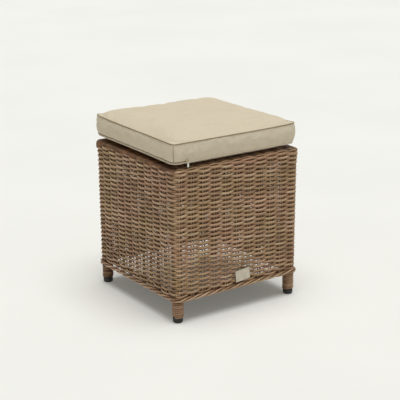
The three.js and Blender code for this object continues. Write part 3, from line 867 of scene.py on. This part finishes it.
def leg_wraps():
    for name, (sx, sy) in CORNERS.items():
        wrap = Strands("leg_strand_" + name, 8)
        steps = int((WRAP_HIGH - WRAP_LOW) / WRAP_PITCH * WRAP_STEPS)
        t = np.arange(steps + 1) / WRAP_STEPS
        angle = 2 * math.pi * t + rng.uniform(0, ANY_PHASE)
        radius = WRAP_RADIUS + WRAP_WOBBLE_OUT * np.sin(t * 1.7 + sx)
        z = WRAP_LOW + WRAP_PITCH * t + WRAP_WOBBLE_UP * np.sin(t * 2.9 + sy)
        path = np.stack([sx * HALF + radius * np.cos(angle), sy * HALF + radius * np.sin(angle),
                         z], -1)
        out = np.stack([np.cos(angle), np.sin(angle), np.zeros_like(angle)], -1)
        tint = np.clip(0.5 + 0.2 * np.sin(t * 2.1 + 3 * sx), 0, 1)
        depth = WRAP_SHADE[name] + 0.22 * np.sin(t * 2.3 + 1.3 * sx + 0.7 * sy)
        width = WRAP_STRAND_RADIUS * (1 + 0.04 * np.sin(t * 5.3))
        wrap.add(path, out, width, tint=tint, depth=depth)
        obj = wrap.build(WRAP, "stool", "wicker_wrap")
        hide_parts("leg_wrap_" + name)


# Cushion: it lies a little to the left of the stool's middle

SHIFT = np.array([-0.0045, 0.0])
CUSHION_EDGE = 0.022
CORE_STEPS = 40
EDGE_STEPS = 8
TOP_CORNER = 0.012
BOTTOM_CORNER = 0.022
DRAW_IN = 0.0036
CROWN = 0.0172
CROWN_POWERS = {"left": 11, "right": 12, "front": 8, "back": 12}
CORNER_LIFTS = {(-1, -1): 0.001, (1, -1): 0.004, (1, 1): -0.007, (-1, 1): 0.0045}
FLAT_INSET = 0.038
LEVELS = 12
BOXING_BULGE = 0.0052
SWELL_CAP = 0.004
SWELL_FRAMES = 20


def cushion_places():
    """Places across the cushion: even ones, closer together near both edges."""
    inner = CUSHION_HALF - CUSHION_EDGE
    core = np.linspace(-inner, inner, CORE_STEPS + 1)
    edge = np.linspace(inner, CUSHION_HALF, EDGE_STEPS + 1)[1:]
    return np.concatenate([-edge[::-1], core, edge])


def cushion_plan(x, y, corner):
    """Bends a plain square grid: corners rounded, sides drawn in between them."""
    inner = CUSHION_HALF - corner
    dx, dy = np.maximum(np.abs(x) - inner, 0), np.maximum(np.abs(y) - inner, 0)
    both = (dx > 0) & (dy > 0)
    size = np.where(both, np.maximum(dx, dy) / np.maximum(np.hypot(dx, dy), 1e-9), 1)
    px = np.where(both, np.sign(x) * (inner + dx * size), x)
    py = np.where(both, np.sign(y) * (inner + dy * size), y)
    u, v = x / CUSHION_HALF, y / CUSHION_HALF
    px = px - DRAW_IN * np.sign(x) * np.abs(u) ** 4 * (1 - v ** 2)
    py = py - DRAW_IN * np.sign(y) * np.abs(v) ** 4 * (1 - u ** 2)
    return px, py


def corner_lift(u, v):
    """How far each corner of the top panel stands up, or sags over a wider part of it."""
    lift = np.zeros_like(u)
    for (sx, sy), height in CORNER_LIFTS.items():
        power = 3 if height > 0 else 1.5
        lift += height * (np.maximum(sx * u, 0) * np.maximum(sy * v, 0)) ** power
    return lift


def top_height(u, v, lift):
    """The crown: nearly flat, then falling to the seam more steeply at some edges than others."""
    power_u = np.where(u > 0, CROWN_POWERS["right"], CROWN_POWERS["left"])
    power_v = np.where(v > 0, CROWN_POWERS["back"], CROWN_POWERS["front"])
    return TOP_SEAM + lift + CROWN * (1 - np.abs(u) ** power_u) * (1 - np.abs(v) ** power_v)


def bottom_height(u, v):
    """Flat where it rests on the seat, curving up to the seam round the edge."""
    reach = (np.abs(u) ** 8 + np.abs(v) ** 8) ** 0.125
    inset = np.clip((1 - reach) * CUSHION_HALF / FLAT_INSET, 0, 1)
    return REST_Z + (BOTTOM_SEAM - REST_Z) * (1 - np.sin(inset * math.pi / 2))


def cushion_rim(n):
    """The grid's edge, anticlockwise from the front left corner: row and column numbers."""
    run = np.arange(n)
    zero = np.zeros(n, int)
    col = np.concatenate([run, zero + n, n - run, zero])
    row = np.concatenate([zero, run, zero + n, n - run])
    return row, col


def boxing_rings(foot, head, head_z):
    """The boxing's rings between the bottom seam and the top seam, bulging halfway up."""
    seam = (head + foot) / 2
    along = np.roll(seam, -1, 0) - np.roll(seam, 1, 0)
    out = np.column_stack([along[:, 1], -along[:, 0]])
    out /= np.linalg.norm(out, axis=1)[:, None]
    rings = []
    for level in np.arange(1, LEVELS) / LEVELS:
        bulge = BOXING_BULGE * math.sin(math.pi * level) ** 0.7
        z = BOTTOM_SEAM + (head_z - BOTTOM_SEAM) * level
        rings.append(np.column_stack([foot + (head - foot) * level ** 0.6 + out * bulge, z]))
    return rings


def cushion_faces(n, loops):
    """The top and bottom grids' faces, then the boxing's between its loops."""
    faces = []
    for r in range(n - 1):
        for c in range(n - 1):
            i = r * n + c
            faces.append((i, i + 1, i + n + 1, i + n))
            j = n * n + i
            faces.append((j, j + n, j + n + 1, j + 1))
    for lower, upper in zip(loops[:-1], loops[1:]):
        for i in range(len(lower)):
            j = (i + 1) % len(lower)
            faces.append((lower[i], lower[j], upper[j], upper[i]))
    return faces


def cushion_mesh():
    """Top and bottom grids joined by the boxing's rings; also which points hold still, and the
    loops of points round the boxing from the bottom seam to the top one."""
    places = cushion_places()
    n = len(places)
    x, y = np.meshgrid(places, places)
    u, v = x / CUSHION_HALF, y / CUSHION_HALF
    lift = corner_lift(u, v)
    px, py = cushion_plan(x, y, TOP_CORNER)
    qx, qy = cushion_plan(x, y, BOTTOM_CORNER)
    top = np.stack([px, py, top_height(u, v, lift)], -1).reshape(-1, 3)
    bottom = np.stack([qx, qy, bottom_height(u, v)], -1).reshape(-1, 3)
    rim = cushion_rim(n - 1)
    head = np.column_stack([px[rim], py[rim]])
    foot = np.column_stack([qx[rim], qy[rim]])
    rings = boxing_rings(foot, head, TOP_SEAM + lift[rim])
    verts = np.concatenate([top, bottom] + rings)
    edge = rim[0] * n + rim[1]
    between = [2 * n * n + k * len(edge) + np.arange(len(edge)) for k in range(LEVELS - 1)]
    loops = [n * n + edge] + between + [edge]
    held = np.zeros(len(verts), bool)
    held[n * n:2 * n * n] = True
    held[edge] = True
    return verts, cushion_faces(n, loops), held, loops


def points(mesh):
    """A mesh's points as N x 3."""
    flat = np.empty(len(mesh.vertices) * 3)
    mesh.vertices.foreach_get("co", flat)
    return flat.reshape(-1, 3)


def swell(obj, held):
    """Cloth filled with air and held at its seams, for the swell and the small ripples."""
    start = points(obj.data)
    group = obj.vertex_groups.new(name="held")
    group.add([int(i) for i in np.flatnonzero(held)], 1.0, "REPLACE")
    cloth = obj.modifiers.new("cloth", "CLOTH")
    settings = cloth.settings
    settings.quality = 6
    settings.mass = 0.3
    settings.tension_stiffness = 30
    settings.compression_stiffness = 30
    settings.shear_stiffness = 12
    settings.bending_stiffness = 1.5
    settings.use_pressure = True
    settings.uniform_pressure_force = 4
    settings.shrink_min = -0.012
    settings.vertex_group_mass = "held"
    settings.effector_weights.gravity = 0
    cloth.collision_settings.use_collision = False
    cloth.collision_settings.use_self_collision = False
    scene = bpy.context.scene
    for number in range(1, SWELL_FRAMES + 1):
        scene.frame_set(number)
    graph = bpy.context.evaluated_depsgraph_get()
    step = points(obj.evaluated_get(graph).to_mesh()) - start
    obj.evaluated_get(graph).to_mesh_clear()
    obj.modifiers.remove(cloth)
    obj.vertex_groups.remove(group)
    scene.frame_set(1)
    size = np.linalg.norm(step, axis=1)[:, None]
    step *= SWELL_CAP * np.tanh(size / SWELL_CAP) / np.maximum(size, 1e-9)
    obj.data.vertices.foreach_set("co", (start + step).ravel())
    obj.data.update()


def smooth_once(obj):
    """One subdivision, applied."""
    obj.modifiers.new("smooth", "SUBSURF").levels = 1
    graph = bpy.context.evaluated_depsgraph_get()
    fine = bpy.data.meshes.new_from_object(obj.evaluated_get(graph))
    obj.modifiers.clear()
    obj.data = fine
    fine.polygons.foreach_set("use_smooth", [True] * len(fine.polygons))


def along_boxing(rings, level, grow):
    """A path round the boxing at a share of its height, from its rings after the swelling."""
    level = np.clip(level, 0, 1) * LEVELS
    below = np.minimum(np.floor(level).astype(int), LEVELS - 1)
    share = level - below
    path = rings[below] * (1 - share) + rings[below + 1] * share
    along = np.roll(path, -1, 0) - np.roll(path, 1, 0)
    out = np.column_stack([along[:, 1], -along[:, 0], 0 * along[:, 0]])
    out /= np.linalg.norm(out, axis=1)[:, None]
    return path + out * grow


def cushion():
    verts, faces, held, loops = cushion_mesh()
    verts[:, :2] += SHIFT
    cover = new_mesh("cushion_cover", verts, faces)
    cover.data.materials.append(FABRIC)
    swell(cover, held)
    places = points(cover.data)
    rings = np.array([places[loop] for loop in loops])
    smooth_once(cover)
    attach(cover, "cushion")
    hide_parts("cushion_core", "cushion_top", "cushion_bottom", "cushion_boxing")

    for name, level, radius, grow, material in (("top", 1, 0.0013, 0.0005, PIPING),
                                                ("bottom", 0, 0.0016, 0.0002, EDGING)):
        cord = Strands("cushion_piping_" + name, 10)
        cord.add(along_boxing(rings, level, grow), (0, 0, 1), radius, closed=True)
        obj = cord.build(material, "cushion", "piping_fabric")
        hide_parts("piping_" + name)

    zip_strip(rings)
    seam_thread(rings)


FLAP_LOW = ZIP_LOW - 0.0012
FLAP_HIGH = ZIP_LOW + 0.0010
FLAP_RADIUS = 0.0011
FLAP_GROW = 0.0004
CHAIN_RADIUS = 0.0009
THREAD_RADIUS = 0.0006
THREAD_GROW = 0.0002


def zip_part(path):
    """Numbers along the boxing's ring of the stretch that the zip takes, in order."""
    n = len(path)
    side = n // 4
    order = np.arange(2 * side, 5 * side + 1) % n
    x = path[order, 0]
    y = path[order, 1]
    inside = (x <= ZIP_END) | (np.abs(y) < CUSHION_HALF - CUSHION_EDGE) & (x < 0)
    return order[inside]


def zip_strip(rings):
    """A flap along the zip's lower edge, and the zip's chain above it, coloured dark both as a chain
    and as painted shadow of the gap over the flap.
    """
    height = TOP_SEAM - BOTTOM_SEAM
    flap = Strands("zip_flap", 10)
    path = along_boxing(rings, ((FLAP_LOW + FLAP_HIGH) / 2 - BOTTOM_SEAM) / height, FLAP_GROW)
    part = zip_part(path)
    flap.add(path[part], (0, 0, 1), FLAP_RADIUS, flat=(FLAP_HIGH - FLAP_LOW) / 2 / FLAP_RADIUS)
    obj = flap.build(EDGING, "cushion", "zip_fabric")
    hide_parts("zip_tape")
    chain = Strands("zip_chain", 8)
    path = along_boxing(rings, (FLAP_HIGH + FLAP_RADIUS - BOTTOM_SEAM) / height, 0.0)
    chain.add(path[part], (0, 0, 1), CHAIN_RADIUS)
    chain.build(CHAIN_AND_SHADOW, "cushion", "zip_fabric")


def seam_thread(rings):
    """The boxing's two upright seams, at the front left and back right corners."""
    thread = Strands("cushion_seams", 6)
    for number in (0, rings.shape[1] // 2):
        path = rings[:, number].copy()
        ways = path[:, :2] - SHIFT
        ways /= np.linalg.norm(ways, axis=1)[:, None]
        path[:, :2] += ways * THREAD_GROW
        thread.add(path[1:-1], np.append(ways[0], 0), THREAD_RADIUS)
    thread.build(PIPING, "cushion", "piping_fabric")


# Pieces that keep their CAD shape

def dress(material, *names):
    for name in names:
        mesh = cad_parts[name].data
        mesh.materials.clear()
        mesh.materials.append(material)


def cad_pieces():
    dress(FRAME, *["leg_" + c for c in CORNERS], *["top_rail_" + s for s in SIDES],
          *["bottom_rail_" + s for s in SIDES], "seat_slat_1", "seat_slat_2", "seat_slat_3")
    dress(GLIDE, *["glide_" + c for c in CORNERS])
    dress(PLATE, "plate")
    dress(SLIDER, "zip_slider")
    dress(METAL, "zip_pull")


# Floor, light and camera

FLOOR_SIZE = 16.0
FLOOR_GLOW = 0.15
DOME_COLOUR = (1.0, 0.975, 0.9, 1.0)
DOME_STRENGTH = 0.29


def background_seen(tree):
    """1 for the rays that show the background itself, straight or in a shiny surface."""
    path = tree.nodes.new("ShaderNodeLightPath")
    seen = path.outputs["Is Camera Ray"]
    for name in ("Is Glossy Ray", "Is Transmission Ray"):
        either = tree.nodes.new("ShaderNodeMath")
        either.operation = "MAXIMUM"
        tree.links.new(seen, either.inputs[0])
        tree.links.new(path.outputs[name], either.inputs[1])
        seen = either.outputs[0]
    return seen


def mix_shaders(tree, share, first, second):
    """The first shader where share is 0, the second where it is 1."""
    mixer = tree.nodes.new("ShaderNodeMixShader")
    for socket, value in zip(mixer.inputs, (share, first, second)):
        tree.links.new(value, socket)
    return mixer.outputs[0]


def floor():
    """A plain pale sheet that glows a little to the camera, so its far parts stay as pale, and
    is clear from below."""
    size = FLOOR_SIZE
    obj = new_mesh("floor", [(-size, -size, 0), (size, -size, 0), (size, size, 0),
                             (-size, size, 0)], [(0, 1, 2, 3)], smooth=False)
    n = Nodes("floor")
    cloud = n.noise(n.place(), 1.5)
    n.set(Base_Color=n.ramp(cloud, [(0.3, srgb(236, 237, 234)), (0.7, srgb(240, 241, 238))]),
          Roughness=0.9, Specular_IOR_Level=0.1)
    glow = n.add("Emission", None, Color=(*srgb(240, 237, 227), 1.0))
    seen = n.math("MULTIPLY", background_seen(n.tree), FLOOR_GLOW)
    lit = mix_shaders(n.tree, seen, n.shader.outputs[0], glow.outputs[0])
    below = n.add("NewGeometry").outputs["Backfacing"]
    both = mix_shaders(n.tree, below, lit, n.add("BsdfTransparent").outputs[0])
    n.tree.links.new(both, n.tree.nodes["Material Output"].inputs["Surface"])
    obj.data.materials.append(n.material)


def sky():
    """A soft warm dome that lights the scene, seen by the camera as the pale background."""
    world = bpy.data.worlds.new("studio")
    world.use_nodes = True
    tree = world.node_tree
    dome = tree.nodes["Background"]
    dome.inputs["Color"].default_value = DOME_COLOUR
    dome.inputs["Strength"].default_value = DOME_STRENGTH
    pale = tree.nodes.new("ShaderNodeBackground")
    pale.inputs["Color"].default_value = (*srgb(241, 242, 237), 1.0)
    both = mix_shaders(tree, background_seen(tree), dome.outputs[0], pale.outputs[0])
    tree.links.new(both, tree.nodes["World Output"].inputs["Surface"])
    bpy.context.scene.world = world


def sun(name, energy, angle, direction):
    data = bpy.data.lights.new(name, "SUN")
    data.energy = energy
    data.angle = math.radians(angle)
    obj = bpy.data.objects.new(name, data)
    obj.rotation_euler = Vector(direction).to_track_quat("-Z", "Y").to_euler()
    bpy.context.scene.collection.objects.link(obj)


def light():
    sky()
    sun("softbox", energy=2.36, angle=46, direction=(-0.01, 0.10, -1.0))
    sun("side_fill", energy=0.10, angle=70, direction=(-0.3, 0.75, -0.5))


def camera():
    """Set from the photograph: where the stool's outline, feet and cushion corners lie in it."""
    azimuth, elevation, roll = (math.radians(a) for a in (-33.996, 17.330, -0.312))
    aim = Vector((0, 0, 0.182))
    distance, across, above = 3.4833, 0.0101, 0.0709
    focal_pixels, frame_pixels = 1254.39, 400.0
    back = Vector((math.sin(azimuth) * math.cos(elevation),
                   -math.cos(azimuth) * math.cos(elevation), math.sin(elevation)))
    right = Vector((math.cos(azimuth), math.sin(azimuth), 0))
    up = back.cross(right)
    right, up = (right * math.cos(roll) + up * math.sin(roll),
                 up * math.cos(roll) - right * math.sin(roll))
    data = bpy.data.cameras.new("camera")
    data.sensor_width = 36.0
    data.lens = data.sensor_width * focal_pixels / frame_pixels
    data.clip_start, data.clip_end = 0.05, 100.0
    obj = bpy.data.objects.new("camera", data)
    turn = Matrix((right, up, back)).transposed()
    place = aim + back * distance + right * across + up * above
    obj.matrix_world = Matrix.Translation(place) @ turn.to_4x4()
    bpy.context.scene.collection.objects.link(obj)
    bpy.context.scene.camera = obj


woven_sides()
seat()
border()
leg_wraps()
cushion()
cad_pieces()
floor()
light()
camera()

view = bpy.context.scene.view_settings
view.view_transform = "Standard"
